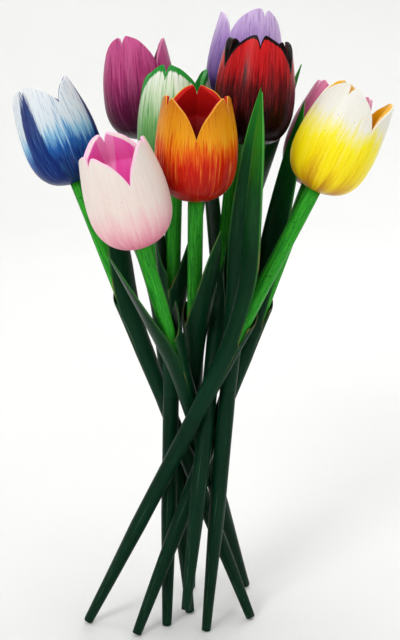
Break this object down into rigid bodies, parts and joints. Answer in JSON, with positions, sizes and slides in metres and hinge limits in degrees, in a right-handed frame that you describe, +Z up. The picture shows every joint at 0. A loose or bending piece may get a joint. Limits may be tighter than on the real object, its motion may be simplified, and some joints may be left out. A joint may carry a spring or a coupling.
{
  "type": "bunch of wooden tulips",
  "caption": "Bunch of carved and painted wooden tulips with hollow notched heads, round stems and curved leaves, standing on its feet.",
  "frame": {"origin": "centre of the bunch's outer box on the floor that the feet stand on", "axes": "+Z up along the stems, +X to the viewer's right, +Y away from the viewer"},
  "size_m": [0.2181, 0.1716, 0.3689],
  "materials": {
    "blue_paint": "brushed paint under satin varnish",
    "magenta_paint": "brushed paint under satin varnish",
    "green_paint": "brushed paint under satin varnish",
    "orange_paint": "brushed paint under satin varnish",
    "pink_paint": "brushed paint under satin varnish",
    "lilac_paint": "brushed paint under satin varnish",
    "red_paint": "brushed paint under satin varnish",
    "yellow_paint": "brushed paint under satin varnish",
    "rose_paint": "brushed paint under satin varnish",
    "stem_green": "green paint under satin varnish",
    "leaf_green": "green paint under satin varnish"
  },
  "bodies": {
    "root": {"blue_head": "blue_paint", "blue_leaf_left": "leaf_green", "blue_leaf_right": "leaf_green", "blue_stem": "stem_green", "green_head": "green_paint", "green_leaf_left": "leaf_green", "green_leaf_right": "leaf_green", "green_stem": "stem_green", "lilac_head": "lilac_paint", "lilac_leaf_left": "leaf_green", "lilac_leaf_right": "leaf_green", "lilac_stem": "stem_green", "magenta_head": "magenta_paint", "magenta_leaf_left": "leaf_green", "magenta_leaf_right": "leaf_green", "magenta_stem": "stem_green", "orange_head": "orange_paint", "orange_leaf_left": "leaf_green", "orange_leaf_right": "leaf_green", "orange_stem": "stem_green", "pink_head": "pink_paint", "pink_leaf_left": "leaf_green", "pink_leaf_right": "leaf_green", "pink_stem": "stem_green", "red_head": "red_paint", "red_leaf_left": "leaf_green", "red_leaf_right": "leaf_green", "red_stem": "stem_green", "rose_head": "rose_paint", "rose_leaf_left": "leaf_green", "rose_leaf_right": "leaf_green", "rose_stem": "stem_green", "yellow_head": "yellow_paint", "yellow_leaf_left": "leaf_green", "yellow_leaf_right": "leaf_green", "yellow_stem": "stem_green"}
  },
  "joints": []
}
